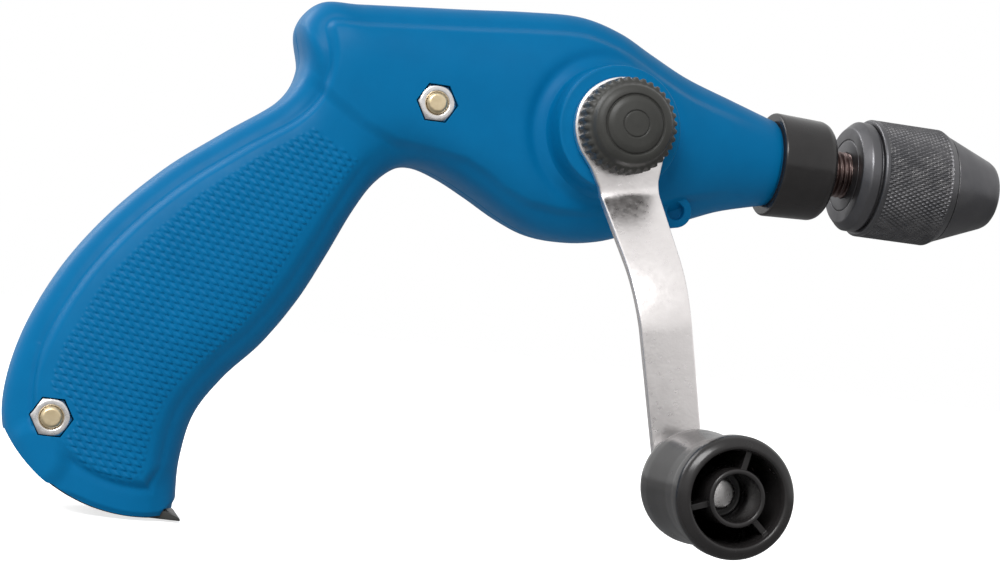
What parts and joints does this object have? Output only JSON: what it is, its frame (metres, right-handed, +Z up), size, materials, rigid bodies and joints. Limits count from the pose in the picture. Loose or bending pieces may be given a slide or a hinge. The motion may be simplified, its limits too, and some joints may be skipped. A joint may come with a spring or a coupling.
{
  "type": "hand drill",
  "caption": "Pistol-grip hand drill with enclosed gears in a two-part moulded case, a side crank with a turning handle, a keyless chuck and a hinged door in the foot of the grip.",
  "frame": {"origin": "on the spindle axis, in the middle of the length over which the chuck's open jaws grip a shank (the drill_shank mount)", "axes": "+X along the spindle towards the chuck's nose, +Z up, -Y towards the crank"},
  "size_m": [0.2365, 0.109, 0.129],
  "materials": {
    "blue_shell": "moulded, satin gloss",
    "black_plastic": "moulded, satin",
    "gloss_black": "moulded, gloss",
    "black_oxide": "black oxide, oiled",
    "nickel": "nickel plate on pressed steel",
    "zinc": "bright zinc plate",
    "yellow_zinc": "yellow zinc plate",
    "steel": "turned, oiled",
    "dark_steel": "phosphated, oiled",
    "bronze": "sintered bronze"
  },
  "bodies": {
    "housing": {"housing_left": "blue_shell", "housing_right": "blue_shell", "nose_collar": "gloss_black", "housing_bolts": "yellow_zinc", "housing_nuts": "zinc", "front_screw": "zinc", "spindle_front_bush": "bronze", "spindle_rear_bush": "bronze", "spindle_thrust_washer": "steel", "crank_bush_left": "bronze", "crank_bush_right": "bronze", "door_hinge_pin": "steel"},
    "crank": {"crank_shaft": "steel", "main_gear": "steel", "gear_pin": "steel", "shaft_washer": "steel", "shaft_circlip": "steel", "crank_arm": "nickel", "crank_knob": "black_plastic", "handle_rivet": "zinc", "handle_washer": "steel"},
    "handle": {"crank_handle": "gloss_black"},
    "spindle": {"spindle": "dark_steel", "spindle_circlip": "steel", "pinion": "steel", "pinion_pin": "steel", "chuck_body": "black_oxide", "chuck_rear_ring": "black_oxide"},
    "sleeve": {"chuck_sleeve": "black_oxide", "chuck_nut": "steel"},
    "jaw_1": {"chuck_jaw_1": "steel"},
    "jaw_2": {"chuck_jaw_2": "steel"},
    "jaw_3": {"chuck_jaw_3": "steel"},
    "door": {"storage_door": "black_plastic"}
  },
  "joints": [
    {"name": "crank_turn", "type": "hinge", "parent": "housing", "child": "crank", "pos_m": [-0.1012, 0, 0], "axis": [0, 1, 0], "continuous": true},
    {"name": "handle_spin", "type": "hinge", "parent": "crank", "child": "handle", "pos_m": [-0.08426, -0.07, -0.07767], "axis": [0, 1, 0], "continuous": true},
    {"name": "spindle_spin", "type": "hinge", "parent": "housing", "child": "spindle", "pos_m": [-0.0412, 0, 0], "axis": [1, 0, 0], "continuous": true},
    {"name": "sleeve_turn", "type": "hinge", "parent": "spindle", "child": "sleeve", "pos_m": [-0.0212, 0, 0], "axis": [-1, 0, 0], "range_deg": [0, 1670]},
    {"name": "jaw_1_slide", "type": "slide", "parent": "spindle", "child": "jaw_1", "axis": [0.9659, 0, -0.2588], "range_m": [0, 0.0093]},
    {"name": "jaw_2_slide", "type": "slide", "parent": "spindle", "child": "jaw_2", "axis": [0.9659, 0.2241, 0.1294], "range_m": [0, 0.0093]},
    {"name": "jaw_3_slide", "type": "slide", "parent": "spindle", "child": "jaw_3", "axis": [0.9659, -0.2241, 0.1294], "range_m": [0, 0.0093]},
    {"name": "door_swing", "type": "hinge", "parent": "housing", "child": "door", "pos_m": [-0.22229, 0, -0.08912], "axis": [0, 1, 0], "range_deg": [0, 65]}
  ],
  "couplings": [
    {"joint": "spindle_spin", "follows": "crank_turn", "ratio": 3.3333},
    {"joint": "jaw_1_slide", "follows": "sleeve_turn", "m_per_rad": 0.00031831},
    {"joint": "jaw_2_slide", "follows": "sleeve_turn", "m_per_rad": 0.00031831},
    {"joint": "jaw_3_slide", "follows": "sleeve_turn", "m_per_rad": 0.00031831}
  ]
}
